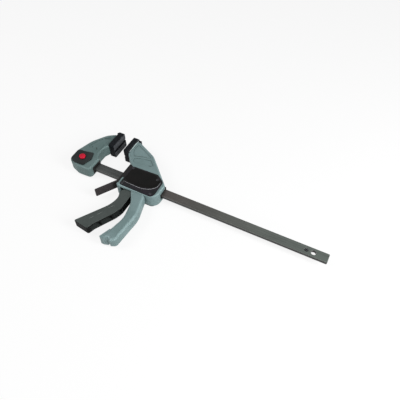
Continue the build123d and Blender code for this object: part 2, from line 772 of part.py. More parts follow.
drive_spring_start = drive_plate_x + drive_stack
with BuildPart() as drive_spring:
    add(coil((opening + drive_spring_start + drive_spring_wire / 2 + 0.05, 0, 0), (1, 0, 0), coil_radius,
             drive_spring_wire, drive_spring_turns, seat_washer_x - drive_spring_start - 0.1))
drive_spring.part.label = "drive_spring"
export_step(drive_spring.part, "parts/drive_spring.step")

# ---------------------------------------------------------------- brake plate, its spring and the release lever

brake_plane = Plane(origin=(opening + brake_x, brake_seat_y, 0), x_dir=(cos(radians(brake_tilt)), -sin(radians(brake_tilt)), 0))
brake_slot_top = brake_seat_y - bar_reach - 0.2
brake_slot_bottom = brake_seat_y + bar_reach + 0.3

with BuildPart() as brake_plate:
    with BuildSketch(brake_plane.offset(-brake_plate_half)):
        with Locations((0, -brake_plate_length / 2)):
            Rectangle(brake_plate_thickness, brake_plate_length)
        Circle(brake_plate_thickness / 2)
    extrude(amount=2 * brake_plate_half)
    with BuildSketch(brake_plane.offset(-bar_half - plate_clearance)):
        with Locations((0, -(brake_slot_top + brake_slot_bottom) / 2)):
            Rectangle(brake_plate_thickness + 2, brake_slot_bottom - brake_slot_top)
    extrude(amount=bar_thickness + 2 * plate_clearance, mode=Mode.SUBTRACT)
brake_plate.part.label = "brake_plate"
export_step(brake_plate.part, "parts/brake_plate.step")

brake_rear = brake_x - (brake_seat_y - coil_radius) * tan(radians(brake_tilt)) + brake_plate_thickness / 2
with BuildPart() as brake_spring:
    add(coil((opening + brake_rear + brake_spring_wire / 2 + 0.1, 0, 0), (1, 0, 0), coil_radius,
             brake_spring_wire, brake_spring_turns, brake_rib_x - brake_rear - 0.2))
brake_spring.part.label = "brake_spring"
export_step(brake_spring.part, "parts/brake_spring.step")

with BuildPart() as release_lever:
    with BuildSketch(body_level(-lever_half)):
        outline([
            (lever_socket_rear, lever_socket_high, 1),
            (lever_socket_rear, lever_socket_low, 1.5),
            (lever_socket_front, lever_socket_low, 1),
            (lever_socket_front, lever_root_low, 0.5),
            (30.6, lever_root_low, 7),
            (6.6, -57.5, 1.8),
            (3.2, -55.3, 1.8),
            (28.4, lever_root_low + lever_thickness, 3),
            (lever_socket_front, lever_root_low + lever_thickness, 0.5),
            (lever_socket_front, lever_socket_high, 1),
        ])
    extrude(amount=2 * lever_half)
    fillet(release_lever.faces().filter_by(Axis.Z).edges(), radius=0.8)
    with BuildSketch(brake_plane.offset(-brake_plate_half - 0.1)):
        with Locations((0, -brake_plate_length / 2)):
            Rectangle(brake_plate_thickness + 0.04, brake_plate_length + 0.04)
    extrude(amount=2 * brake_plate_half + 0.2, mode=Mode.SUBTRACT)
release_lever.part.label = "release_lever"
export_step(release_lever.part, "parts/release_lever.step")

# ---------------------------------------------------------------- trigger

with BuildPart() as trigger:
    with BuildSketch(body_level(-trigger_half)):
        outline([
            (trigger_pivot_x - 7, 18, 0),
            (trigger_pivot_x - 7, -24, 6),
            (48.5, -36, 6),
            (53.8, -52, 20),
            (51, -70, 60),
            (12.6, -130.0, 1.8),
            (44, -134.5, 4),
            (48, -121.5, 20),
            (69, -84, 40),
            (73.5, -70, 30),
            (73.5, -36, 8),
            (trigger_pivot_x + 5, -27, 6),
            (trigger_pivot_x + 5, 18, 0),
        ])
        with Locations((trigger_pivot_x, trigger_pivot_y)):
            Circle(trigger_hub_diameter / 2)
        with Locations((trigger_pivot_x + 5, nose_y)):
            Circle(nose_radius)
    extrude(amount=2 * trigger_half)
    rims = trigger.faces().filter_by(Axis.Z).edges().filter_by(lambda e: e.center().Y < -30)
    fillet(rims, radius=trigger_edge)
    # fork over the bar
    with BuildSketch(body_level(-bar_half - trigger_cheek_gap)):
        with Locations((trigger_pivot_x, (40 - bar_reach - 4) / 2)):
            Rectangle(60, 40 + bar_reach + 4)
    extrude(amount=2 * (bar_half + trigger_cheek_gap), mode=Mode.SUBTRACT)
    # hollow back with stiffening ribs
    with BuildSketch(body_level(-trigger_half + trigger_wall)):
        outline([
            (56.8, -40, 2),
            (57.2, -53, 10),
            (54.6, -71, 40),
            (22.5, -127, 2),
            (44, -130.2, 0),
            (90, -131, 0),
            (90, -40, 0),
        ])
        for x, y in trigger_ribs_at:
            with Locations(Location((x, y), -30)):
                Rectangle(trigger_rib, 70, rotation=90, mode=Mode.SUBTRACT)
    extrude(amount=2 * (trigger_half - trigger_wall), mode=Mode.SUBTRACT)
    with Locations((opening + trigger_pivot_x, trigger_pivot_y, 0)):
        Cylinder(trigger_pin_diameter / 2 + pin_clearance, 4 * trigger_half, mode=Mode.SUBTRACT)
trigger.part.label = "trigger"
export_step(trigger.part, "parts/trigger.step")

with BuildPart() as trigger_pin:
    with BuildSketch(body_level(-cover_floor)):
        with Locations((trigger_pivot_x, trigger_pivot_y)):
            Circle(trigger_pin_diameter / 2)
    extrude(amount=2 * cover_floor)
    chamfer(trigger_pin.edges().filter_by(GeomType.CIRCLE), length=0.4)
trigger_pin.part.label = "trigger_pin"
export_step(trigger_pin.part, "parts/trigger_pin.step")
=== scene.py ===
import json
from math import atan2, cos, pi, radians, sin, tan

import bmesh
import bpy
from mathutils import Matrix, Vector


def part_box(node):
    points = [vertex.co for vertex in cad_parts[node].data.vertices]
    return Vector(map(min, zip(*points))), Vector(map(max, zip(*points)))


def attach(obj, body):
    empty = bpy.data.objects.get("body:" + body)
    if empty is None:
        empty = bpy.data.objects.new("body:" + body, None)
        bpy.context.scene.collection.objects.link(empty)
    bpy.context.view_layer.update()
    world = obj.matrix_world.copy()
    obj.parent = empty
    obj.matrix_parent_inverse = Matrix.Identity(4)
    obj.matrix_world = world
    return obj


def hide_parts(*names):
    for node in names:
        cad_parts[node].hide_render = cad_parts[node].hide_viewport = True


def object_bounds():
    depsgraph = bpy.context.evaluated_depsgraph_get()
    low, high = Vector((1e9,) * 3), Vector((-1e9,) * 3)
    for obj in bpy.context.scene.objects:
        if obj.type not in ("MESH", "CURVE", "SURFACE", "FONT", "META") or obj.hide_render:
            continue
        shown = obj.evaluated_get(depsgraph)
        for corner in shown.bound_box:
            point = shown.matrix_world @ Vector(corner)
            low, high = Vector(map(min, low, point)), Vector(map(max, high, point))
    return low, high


# Quick release bar clamp: materials, small forms, floor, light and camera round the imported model.

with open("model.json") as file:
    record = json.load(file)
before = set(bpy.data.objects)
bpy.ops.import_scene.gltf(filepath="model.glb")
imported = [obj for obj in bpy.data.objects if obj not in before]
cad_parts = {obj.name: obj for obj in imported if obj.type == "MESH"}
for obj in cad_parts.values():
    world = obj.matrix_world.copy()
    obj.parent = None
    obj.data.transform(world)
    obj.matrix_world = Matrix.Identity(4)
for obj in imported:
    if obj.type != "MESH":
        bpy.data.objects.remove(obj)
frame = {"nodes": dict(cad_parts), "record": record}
cad_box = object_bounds()
nodes = frame["nodes"]

MM = 0.001  # outlines and sizes are in millimetres, and this turns them into metres

arc_steps = 6  # segments of a rounded corner
circle_steps = 40
edge_segments = 2  # of a bevelled edge
sharp_turn = radians(40)  # edges that turn more than this are bevelled
rod_tip = 0.45  # radius at a rod's ends, as a share of its own
weld_reach = 0.01 * MM


# ------------------------------------------------------------------ material helpers

def linear(r, g, b):
    """Linear colour from 0-255 display values."""
    def one(v):
        v /= 255
        return v / 12.92 if v <= 0.04045 else ((v + 0.055) / 1.055) ** 2.4
    return (one(r), one(g), one(b), 1.0)


def lighter(colour, gain, lift=0.0):
    """The colour multiplied by a gain, then raised by a lift."""
    return tuple(min(1.0, c * gain + lift) for c in colour[:3]) + (1.0,)


class Surface:
    """A node material under construction: a Principled shader and short ways to feed it."""

    def __init__(self, name):
        self.material = bpy.data.materials.new(name)
        self.material.use_nodes = True
        self.tree = self.material.node_tree
        self.shader = self.tree.nodes["Principled BSDF"]
        self.place = self.add("ShaderNodeTexCoord").outputs["Object"]
        self.seed = 0.0

    def add(self, kind, **settings):
        node = self.tree.nodes.new(kind)
        for key, value in settings.items():
            setattr(node, key, value)
        return node

    def link(self, output, socket):
        self.tree.links.new(output, socket)

    def feed(self, socket, value):
        """Links a socket, or sets a plain value."""
        if isinstance(value, bpy.types.NodeSocket):
            self.link(value, socket)
        elif value is not None:
            socket.default_value = value

    def noise(self, scale, detail, rough=0.5, stretch=(1, 1, 1)):
        """Noise in object space, scale in cycles per metre; each call is shifted to its own place."""
        self.seed += 1.7
        node = self.add("ShaderNodeTexNoise")
        mapping = self.add("ShaderNodeMapping")
        mapping.inputs["Location"].default_value = (self.seed, self.seed * 1.7, self.seed * 0.6)
        mapping.inputs["Scale"].default_value = stretch
        for name, value in (("Scale", scale), ("Detail", detail), ("Roughness", rough)):
            node.inputs[name].default_value = value
        self.link(self.place, mapping.inputs["Vector"])
        self.link(mapping.outputs["Vector"], node.inputs["Vector"])
        return node.outputs["Fac"]

    def axis(self, name):
        """Position along X, Y or Z, in metres."""
        node = self.add("ShaderNodeSeparateXYZ")
        self.link(self.place, node.inputs[0])
        return node.outputs[name]

    def ramp(self, factor, stops):
        """Colour ramp; stops are (position, colour)."""
        node = self.add("ShaderNodeValToRGB")
        elements = node.color_ramp.elements
        while len(elements) < len(stops):
            elements.new(0.5)
        for element, (position, colour) in zip(elements, stops):
            element.position = position
            element.color = colour
        self.link(factor, node.inputs["Fac"])
        return node.outputs["Color"]

    def span(self, factor, low, high, to_low, to_high):
        """Maps low..high of a factor to to_low..to_high, clamped."""
        node = self.add("ShaderNodeMapRange")
        for name, value in (("From Min", low), ("From Max", high), ("To Min", to_low), ("To Max", to_high)):
            node.inputs[name].default_value = value
        self.link(factor, node.inputs["Value"])
        return node.outputs["Result"]

    def mix(self, factor, first, second):
        """Colour mix; factor and colours are sockets or plain values."""
        node = self.add("ShaderNodeMix", data_type="RGBA")
        for index, value in ((0, factor), (6, first), (7, second)):
            self.feed(node.inputs[index], value)
        return node.outputs[2]

    def math(self, operation, first, second=None):
        """Arithmetic on sockets or plain values."""
        node = self.add("ShaderNodeMath", operation=operation)
        self.feed(node.inputs[0], first)
        self.feed(node.inputs[1], second)
        return node.outputs[0]

    def rounded(self, radius):
        """Normal with its edges rounded to a radius in metres."""
        node = self.add("ShaderNodeBevel", samples=5)
        node.inputs["Radius"].default_value = radius
        return node.outputs["Normal"]

    def edges(self, radius=0.7 * MM):
        """1 on sharp edges, fading to 0 within a radius of them."""
        dot = self.add("ShaderNodeVectorMath", operation="DOT_PRODUCT")
        self.link(self.rounded(radius), dot.inputs[0])
        self.link(self.add("ShaderNodeNewGeometry").outputs["Normal"], dot.inputs[1])
        return self.span(dot.outputs["Value"], 0.995, 0.82, 0, 1)

    def along(self, name):
        """How squarely the surface faces along an object axis, either way: 0 to 1."""
        node = self.add("ShaderNodeSeparateXYZ")
        self.link(self.add("ShaderNodeTexCoord").outputs["Normal"], node.inputs[0])
        return self.math("ABSOLUTE", node.outputs[name])

    def facing(self, name, low=0.55, high=0.8):
        """1 where the surface faces along an object axis, either way, and 0 where it faces across it."""
        return self.span(self.along(name), low, high, 0, 1)

    def shoulders(self, strength):
        """Strength on the rounded shoulders between the flat faces and the sides, and 0 on both."""
        level = self.along("Z")
        off_sides = self.span(level, 0.25, 0.6, 0, 1)
        off_faces = self.span(level, 0.985, 0.88, 0, strength)
        return self.math("MULTIPLY", off_sides, off_faces)

    def crevice(self, reach, depth):
        """Mask for painted shade: 0 in the open, rising to a depth in corners and steps within a reach in
        metres.
        """
        node = self.add("ShaderNodeAmbientOcclusion", samples=6)
        node.inputs["Distance"].default_value = reach
        return self.span(node.outputs["AO"], 0.88, 0.42, 0, depth)

    def bump(self, height, distance, strength, below):
        """Normal with a height laid over the normal below it; the distance is in metres."""
        node = self.add("ShaderNodeBump")
        node.inputs["Strength"].default_value = strength
        node.inputs["Distance"].default_value = distance
        self.link(height, node.inputs["Height"])
        self.feed(node.inputs["Normal"], below)
        return node.outputs["Normal"]

    def finish(self, colour, roughness, normal=None, **sockets):
        """Feeds the shader; other sockets are given by name, with _ for each space."""
        self.feed(self.shader.inputs["Base Color"], colour)
        self.feed(self.shader.inputs["Roughness"], roughness)
        self.feed(self.shader.inputs["Normal"], normal)
        for socket, value in sockets.items():
            self.shader.inputs[socket.replace("_", " ")].default_value = value
        return self.material


def moulded_plastic(name, colour, deep, grain=0.03, roughness=(0.42, 0.56), grain_scale=2400,
                    specular=0.5, seam=False, wear=0.55, side=None, corner_shade=0.8, shoulder_light=0.0):
    """Textured moulded plastic: flow marks, worn paler edges, rubbed spots, painted shade in its corners.

    grain is the texture's depth in millimetres. side is the colour of the faces across Z, painted
    darker as shade where it differs. The shoulder strength paints a highlight on the shoulders,
    and seam draws the line where two half casings meet.
    """
    edge_radius = 0.35 * MM
    shade_reach = 3.0 * MM
    seam_core, seam_fade = 0.10 * MM, 0.22 * MM
    s = Surface(name)
    pale = lighter(colour, 1.35, 0.02)
    flow = s.math("MULTIPLY", s.noise(24, 3), 0.65)
    fine = s.math("MULTIPLY", s.noise(380, 4, 0.6), 0.35)
    body = s.ramp(s.math("ADD", flow, fine), ((0.36, deep), (0.64, colour)))
    speckle = s.span(s.noise(1500, 2, 0.7), 0.60, 0.74, 0, 0.16)
    body = s.mix(speckle, body, pale)
    if side:
        # painted shade: the faces across Z take the darker side colour
        body = s.mix(s.facing("Z"), side, body)
    # painted shade: the ambient occlusion mask darkens corners, steps and crevices
    body = s.mix(s.crevice(shade_reach, corner_shade), body, lighter(deep, 0.22))
    # painted highlight: the rounded shoulders are paled in patches, standing in for the light along them
    if shoulder_light:
        patchy = s.span(s.noise(60, 3, 0.6), 0.35, 0.6, 0.55, 1)
        body = s.mix(s.math("MULTIPLY", s.shoulders(shoulder_light), patchy), body, pale)
    rubbed = s.span(s.noise(130, 3, 0.65), 0.42, 0.62, 0.15, wear)
    body = s.mix(s.math("MULTIPLY", s.edges(), rubbed), body, pale)
    if seam:
        line = s.span(s.math("ABSOLUTE", s.axis("Z")), seam_core, seam_fade, 0.75, 0)
        body = s.mix(line, body, lighter(deep, 0.35))
    rough = s.span(s.noise(70, 3, 0.6), 0.35, 0.65, roughness[0], roughness[1])
    normal = s.bump(s.noise(90, 2), 0.12 * MM, 0.5, s.rounded(edge_radius))
    normal = s.bump(s.noise(grain_scale, 2, 0.6), grain * MM, 0.9, normal)
    return s.finish(body, rough, normal, Specular_IOR_Level=specular)


def bar_steel(name):
    """Dark oiled, cold rolled bar: marks along its length, rubbed edges that also carry a painted
    highlight, and sides painted dark as shade.

    It carries a painted shadow of the fixed jaw, darkest beside it, and turns paler towards its free
    end. The four places are along X, in metres.
    """
    jaw_shadow_full, jaw_shadow_gone = 0.06, 0.13
    tail_start, tail_full = 0.16, 0.42
    s = Surface(name)
    streaks = s.noise(7, 5, 0.65, (1, 90, 90))
    patches = s.noise(14, 4, 0.6)
    blend = s.math("ADD", s.math("MULTIPLY", streaks, 0.6), s.math("MULTIPLY", patches, 0.4))
    near = s.ramp(blend, ((0.34, linear(48, 45, 43)), (0.66, linear(76, 71, 68))))
    far = s.ramp(blend, ((0.34, linear(64, 71, 67)), (0.66, linear(92, 100, 95))))
    # painted shadow: darker beside the fixed jaw, fading out along X
    jaw_shadow = s.ramp(blend, ((0.34, linear(26, 28, 28)), (0.66, linear(66, 70, 69))))
    near = s.mix(s.span(s.axis("X"), jaw_shadow_full, jaw_shadow_gone, 0, 1), jaw_shadow, near)
    body = s.mix(s.span(s.axis("X"), tail_start, tail_full, 0, 1), near, far)
    # painted shade: the narrow sides across Z are dark as unlit
    body = s.mix(s.facing("Z"), linear(34, 34, 33), body)
    scratches = s.noise(50, 3, 0.7, (1, 40, 40))
    body = s.mix(s.span(scratches, 0.60, 0.74, 0, 0.4), body, linear(128, 128, 124))
    body = s.mix(s.span(s.noise(9, 4, 0.7, (1, 60, 60)), 0.62, 0.78, 0, 0.5), body, linear(40, 38, 37))
    # pale edges: rubbed wear, and also a painted highlight along them
    body = s.mix(s.math("MULTIPLY", s.edges(), 0.5), body, linear(168, 168, 164))
    rough = s.span(blend, 0.38, 0.62, 0.32, 0.46)
    normal = s.bump(scratches, 0.012 * MM, 0.6, s.rounded(0.4 * MM))
    normal = s.bump(s.noise(900, 3, 0.6), 0.008 * MM, 0.6, normal)
    return s.finish(body, rough, normal, Metallic=0.35, Specular_IOR_Level=0.6)


def steel(name, tint, dark, rough, metallic=0.85):
    """Plated or ground steel with soft clouding and small scratches."""
    s = Surface(name)
    body = s.ramp(s.noise(240, 4, 0.6), ((0.32, dark), (0.68, tint)))
    body = s.mix(s.math("MULTIPLY", s.edges(0.3 * MM), 0.6), body, lighter(tint, 1.6, 0.03))
    roughness = s.span(s.noise(500, 3, 0.6), 0.35, 0.65, rough[0], rough[1])
    normal = s.bump(s.noise(1500, 3, 0.7, (1, 6, 1)), 0.01 * MM, 0.7, s.rounded(0.25 * MM))
    return s.finish(body, roughness, normal, Metallic=metallic)


def rubber(name):
    """Dull black rubber with a fine skin, painted grey on its clamping faces as the light on them, painted
    shade in its corners, and scuffed paler on its edges.
    """
    bright_below, dim_above = -4 * MM, 2 * MM  # the grey is a little dimmer above the middle
    shade_reach = 3.0 * MM
    scuff_reach = 1.0 * MM
    s = Surface(name)
    clouds = s.noise(120, 4, 0.6)
    skin = s.ramp(clouds, ((0.32, linear(9, 11, 14)), (0.68, linear(20, 23, 28))))
    lit_face_grey = s.ramp(clouds, ((0.32, linear(78, 81, 85)), (0.68, linear(104, 107, 111))))
    # painted light: the faces across X are painted grey as lit, a little brighter below the middle
    face_light_fade = s.span(s.axis("Z"), bright_below, dim_above, 1, 0.6)
    body = s.mix(s.math("MULTIPLY", s.facing("X", 0.85, 0.97), face_light_fade), skin, lit_face_grey)
    # painted shade: near black in corners and steps
    body = s.mix(s.crevice(shade_reach, 0.85), body, linear(8, 8, 9))
    pale = linear(112, 115, 120)
    scuffed = s.span(clouds, 0.35, 0.6, 0.1, 0.5)
    body = s.mix(s.math("MULTIPLY", s.edges(scuff_reach), scuffed), body, pale)
    body = s.mix(s.span(s.noise(1400, 2, 0.7), 0.62, 0.75, 0, 0.07), body, pale)
    roughness = s.span(s.noise(300, 3, 0.6), 0.35, 0.65, 0.5, 0.7)
    normal = s.bump(s.noise(2400, 3, 0.7), 0.03 * MM, 0.9, s.rounded(0.6 * MM))
    return s.finish(body, roughness, normal, Specular_IOR_Level=0.08)


def gloss_plastic(name, colour, deep, rough, specular=0.5):
    """Polished plastic with fine hairlines and small smudges in its gloss."""
    edge_radius = 0.5 * MM
    shade_reach = 2.5 * MM
    edge_wear = 0.25
    s = Surface(name)
    body = s.ramp(s.noise(45, 3), ((0.34, deep), (0.66, colour)))
    body = s.mix(s.math("MULTIPLY", s.edges(), edge_wear), body, lighter(colour, 2.2, 0.03))
    # painted shade: darker in corners and steps, as round the button and the panel borders
    body = s.mix(s.crevice(shade_reach, 0.85), body, lighter(deep, 0.15))
    smudge = s.span(s.noise(75, 4, 0.65), 0.42, 0.62, rough[0], rough[1])
    normal = s.bump(s.noise(60, 2), 0.05 * MM, 0.4, s.rounded(edge_radius))
    normal = s.bump(s.noise(520, 2, 0.6, (1, 14, 1)), 0.004 * MM, 0.5, normal)
    return s.finish(body, smudge, normal, Specular_IOR_Level=specular)


casing = moulded_plastic("casing_grey_green", linear(119, 140, 141), linear(104, 125, 125),
                         seam=True, specular=0.25, wear=0.75, shoulder_light=0.75)
# painted shade: the fixed jaw is the casing's grey-green plastic, made darker for the less light on its
# faces
fixed_jaw_shaded_casing = moulded_plastic("fixed_jaw_grey_green_shaded", linear(102, 121, 120), linear(80, 101, 99),
                               specular=0.2, shoulder_light=0.5)
# painted highlight: the casing plastic made pale for the light along the jaw's front edge
jaw_bead_highlight = moulded_plastic("jaw_bead_highlight", linear(168, 184, 184), linear(150, 168, 168), corner_shade=0.15)
black = moulded_plastic("black_moulded", linear(36, 34, 34), linear(24, 24, 25),
                        grain=0.04, specular=0.12)
# painted light and shade: the trigger is black plastic, grey on its flat faces where light falls and near
# black on its sides as shade
trigger_black = moulded_plastic("trigger_black", linear(76, 82, 80), linear(64, 70, 68),
                                grain=0.06, roughness=(0.5, 0.64), grain_scale=1500, specular=0.08,
                                side=linear(7, 8, 8), wear=0.6)
# painted highlight: the trigger's ribs are its black plastic, made pale grey for the light they catch
rib_highlight_grey = moulded_plastic("trigger_rib", linear(118, 124, 121), linear(92, 98, 95), corner_shade=0.2)
lever_black = moulded_plastic("lever_black", linear(58, 54, 55), linear(46, 43, 44),
                              roughness=(0.42, 0.55), wear=0.8, specular=0.12)
# painted shade: dark lines for the shadows along the jaws' steps and grooves
mark_painted_shade = moulded_plastic("moulded_mark", linear(44, 62, 60), linear(32, 48, 46), corner_shade=0.5, wear=0.05)
cover_black = gloss_plastic("cover_black", linear(13, 11, 11), linear(7, 7, 7),
                            rough=(0.24, 0.34), specular=0.1)
# painted reflection: the shelf is the same black moulding as the plateau, made paler and purple for the
# light it reflects
shelf_painted_sheen = gloss_plastic("cover_shelf", linear(34, 28, 38), linear(14, 22, 18),
                            rough=(0.24, 0.38), specular=0.15)
# painted highlight: grey for the light along the foot of the plateau's slope
rim_highlight_grey = gloss_plastic("cover_rim_highlight", linear(146, 148, 150), linear(84, 86, 88), rough=(0.24, 0.36))
panel_black = gloss_plastic("panel_black", linear(38, 42, 42), linear(24, 27, 27),
                            rough=(0.26, 0.38), specular=0.15)
button_red = gloss_plastic("button_red", linear(216, 34, 60), linear(186, 16, 44),
                           rough=(0.24, 0.36), specular=0.15)
pad_rubber = rubber("pad_rubber_grey")
oiled_bar = bar_steel("bar_dark_steel")
black_oxide = steel("black_oxide_screws", linear(62, 62, 66), linear(40, 40, 44),
                    (0.3, 0.45), metallic=0.7)
ground = steel("ground_steel", linear(150, 150, 152), linear(104, 104, 106), (0.34, 0.5))

# what each CAD node wears; the pieces inside aren't named here, and are ground steel
looks = {
    "bar": oiled_bar,
    "bar_stop_pin": black_oxide,
    "fixed_jaw": fixed_jaw_shaded_casing,
    "fixed_jaw_panel": panel_black,
    "fixed_jaw_back_panel": panel_black,
    "fixed_jaw_sleeve": black,
    "jaw_button": button_red,
    "fixed_pad": pad_rubber,
    "moving_pad": pad_rubber,
    "upper_shell": casing,
    "lower_shell": casing,
    "upper_cover": cover_black,
    "lower_cover": cover_black,
    "cover_screws": black_oxide,
    "shell_screws": black_oxide,
    "front_guide": black,
    "rear_guide": black,
    "trigger": trigger_black,
    "release_lever": lever_black,
}


def dress(node, material):
    """Gives a CAD node its material, in every slot it has."""
    slots = nodes[node].material_slots
    if not slots:
        nodes[node].data.materials.append(material)
    for used in slots:
        used.link = "OBJECT"
        used.material = material


for part in frame["record"]["subparts"]:
    dress(part["node"], looks.get(part["node"], ground))


# ------------------------------------------------------------------ pieces modelled here

def rounded_ring(corners):
    """Closed outline, in millimetres, from corners (x, y, radius)."""
    longest = 0.48  # share of an edge that one corner's arc may take
    ring = []
    for index, (x, y, radius) in enumerate(corners):
        corner = Vector((x, y))
        back_edge = Vector(corners[index - 1][:2]) - corner
        next_edge = Vector(corners[(index + 1) % len(corners)][:2]) - corner
        half_turn = back_edge.angle(next_edge) / 2
        reach = min(radius / tan(half_turn), longest * back_edge.length, longest * next_edge.length)
        bisector = (back_edge.normalized() + next_edge.normalized()).normalized()
        centre = corner + bisector * reach / cos(half_turn)
        start = corner + back_edge.normalized() * reach - centre
        end = corner + next_edge.normalized() * reach - centre
        turn = atan2(start.x * end.y - start.y * end.x, start.dot(end))
        for step in range(arc_steps + 1):
            arm = Matrix.Rotation(turn * step / arc_steps, 2) @ start
            ring.append(centre + arm)
    return ring


def circle_ring(x, y, radius):
    """Closed circle, in millimetres."""
    turns = [2 * pi * step / circle_steps for step in range(circle_steps)]
    return [Vector((x + radius * cos(turn), y + radius * sin(turn))) for turn in turns]


def ring_edges(mesh, ring, height):
    """Draws a closed ring into a bmesh and returns its edges."""
    points = [mesh.verts.new((p.x * MM, p.y * MM, height * MM)) for p in ring]
    return [mesh.edges.new((points[k - 1], points[k])) for k in range(len(points))]


def piece(name, mesh, material, body, bevel=0.0):
    """Turns a finished bmesh into an object that rides on a body."""
    bmesh.ops.recalc_face_normals(mesh, faces=mesh.faces)
    data = bpy.data.meshes.new(name)
    mesh.to_mesh(data)
    mesh.free()
    made = bpy.data.objects.new(name, data)
    bpy.context.scene.collection.objects.link(made)
    data.materials.append(material)
    if bevel:
        edges = made.modifiers.new("edges", "BEVEL")
        edges.width = bevel * MM
        edges.segments = edge_segments
        edges.limit_method = "ANGLE"
        edges.angle_limit = sharp_turn
    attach(made, body)
    return made


def plate(name, rings, low, high, material, body, bevel):
    """Flat plate between two heights; the first ring is its outline and the others are holes."""
    mesh = bmesh.new()
    edges = [edge for ring in rings for edge in ring_edges(mesh, ring, low)]
    bmesh.ops.triangle_fill(mesh, use_beauty=True, edges=edges)
    grown = bmesh.ops.extrude_face_region(mesh, geom=mesh.faces[:])
    raised = [item for item in grown["geom"] if isinstance(item, bmesh.types.BMVert)]
    bmesh.ops.translate(mesh, verts=raised, vec=(0, 0, (high - low) * MM))
    return piece(name, mesh, material, body, bevel)


def sloped_block(name, foot, top, low, high, material, body, bevel):
    """Block whose sides lean from a foot ring to a top ring with as many points."""
    mesh = bmesh.new()
    lower = [mesh.verts.new((p.x * MM, p.y * MM, low * MM)) for p in foot]
    upper = [mesh.verts.new((p.x * MM, p.y * MM, high * MM)) for p in top]
    mesh.faces.new(lower)
    mesh.faces.new(upper)
    for k in range(len(foot)):
        mesh.faces.new((lower[k - 1], lower[k], upper[k], upper[k - 1]))
    piece(name, mesh, material, body, bevel)


def body_ring(corners):
    """Rounded outline of corners that are measured from the moving clamping face."""
    return rounded_ring([(x + face_x, y, radius) for x, y, radius in corners])


def lifted(points, height, shift=0.0):
    """Points (x, y) at a height, moved along the bar."""
    return [(x + shift, y, height) for x, y in points]


def rod(name, points, radius, material, body):
    """Round bead near the points (x, y, z), in millimetres, thinner at its ends."""
    data = bpy.data.curves.new(name, "CURVE")
    data.dimensions = "3D"
    data.bevel_depth = radius * MM
    data.bevel_resolution = 3
    data.use_fill_caps = True
    spline = data.splines.new("NURBS")
    spline.points.add(len(points) - 1)
    for point, (x, y, z) in zip(spline.points, points):
        point.co = (x * MM, y * MM, z * MM, 1)
    spline.points[0].radius = spline.points[-1].radius = rod_tip
    spline.order_u = 3
    spline.use_endpoint_u = True
    curve = bpy.data.objects.new(name, data)
    bpy.context.scene.collection.objects.link(curve)
    bpy.context.view_layer.update()
    shape = bpy.data.meshes.new_from_object(curve.evaluated_get(bpy.context.evaluated_depsgraph_get()))
    bpy.data.objects.remove(curve)
    mesh = bmesh.new()
    mesh.from_mesh(shape)
    bpy.data.meshes.remove(shape)
    bmesh.ops.remove_doubles(mesh, verts=mesh.verts, dist=weld_reach)
    made = piece(name, mesh, material, body)
    for face in made.data.polygons:
        face.use_smooth = True


face_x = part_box("moving_pad")[0][0] / MM  # the moving clamping face

# heights above the middle plane; the lower side mirrors them
casing_face = 15.0
pocket_face = 14.0  # floor of the hollows in the casing's sides
fixed_jaw_face = 13.0
cover_low = 13.5
cover_shelf = 15.65
cover_face = 16.85  # just under the tops of the screws' heads

# outlines of corners (x, y, radius), and a line of points (x, y), from the moving clamping face
cover_outline = [(41, 22.5, 4), (96, 24.5, 12), (113.5, 13, 8), (114.3, -27.3, 9), (41, -27.3, 5)]
plateau_foot = [
    (42.6, 20.6, 3), (94, 22.4, 10), (109.3, 12, 6), (108.6, -4.5, 7),
    (99.7, -12.5, 6), (82, -18.3, 14), (59, -17.6, 20), (42.6, -16.5, 3),
]
plateau_top = [
    (43.6, 19.6, 2.5), (93.6, 21.3, 9.5), (105, 12, 5.5), (104.6, 1.5, 6),
    (96.3, -6.4, 6), (77.5, -10.4, 14), (55.3, -10.9, 20), (43.6, -12.3, 2.5),
]
bead_line = [
    (44.5, -17.4), (52, -18.4), (66, -18.7), (82, -19.3), (92, -17),
    (100.4, -13.2), (106, -8.6), (109.6, -3.4), (110.3, 3), (110.3, 9),
]
saddle_outline = [(33, -11.5, 1.5), (42, -8.5, 2), (42, 21, 2), (37.4, 24.2, 2.5), (33, 24.2, 1)]

# outlines of corners (x, y, radius) on the fixed jaw, from its own clamping face
front_panel_outline = [
    (-59.6, 11.8, 2), (-26.5, 18.6, 2.5), (-20.6, 2, 4),
    (-26.5, -17.4, 3), (-48, -18.4, 5), (-59.2, -10.5, 4),
]
back_panel_outline = [
    (-59, 11.5, 2), (-26.5, 15, 2.5), (-25.5, 2, 4),
    (-27, -15.5, 3), (-48, -15.8, 5), (-57, -9.5, 5),
]
button_diameter = 12.5
button_play = 0.35


def cover(side, label, node):
    """Cover plate: shelf tinted as a painted reflection, with a bead painted grey as a highlight, and a
    plateau with one long sloping side.
    """
    shelf_bevel, plateau_bevel = 0.5, 0.25
    plateau_sink = 0.2  # into the shelf
    bead_radius, bead_rise = 0.5, 0.05
    base = plate(f"{label}_shelf", [body_ring(cover_outline)], side * cover_low, side * cover_shelf,
                 shelf_painted_sheen, "sliding_body", shelf_bevel)
    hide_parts(node)
    sloped_block(f"{label}_plateau", body_ring(plateau_foot), body_ring(plateau_top),
                 side * (cover_shelf - plateau_sink), side * cover_face,
                 cover_black, "sliding_body", plateau_bevel)
    rod(f"{label}_bead", lifted(bead_line, side * (cover_shelf + bead_rise), face_x), bead_radius,
        rim_highlight_grey, "sliding_body")


def saddle(side, label):
    """Black strip of the front insert that reaches back to the cover."""
    sunk, proud, bevel = 1.2, 0.4, 0.5
    plate(label, [body_ring(saddle_outline)], side * (casing_face - sunk),
          side * (casing_face + proud), black, "sliding_body", bevel)


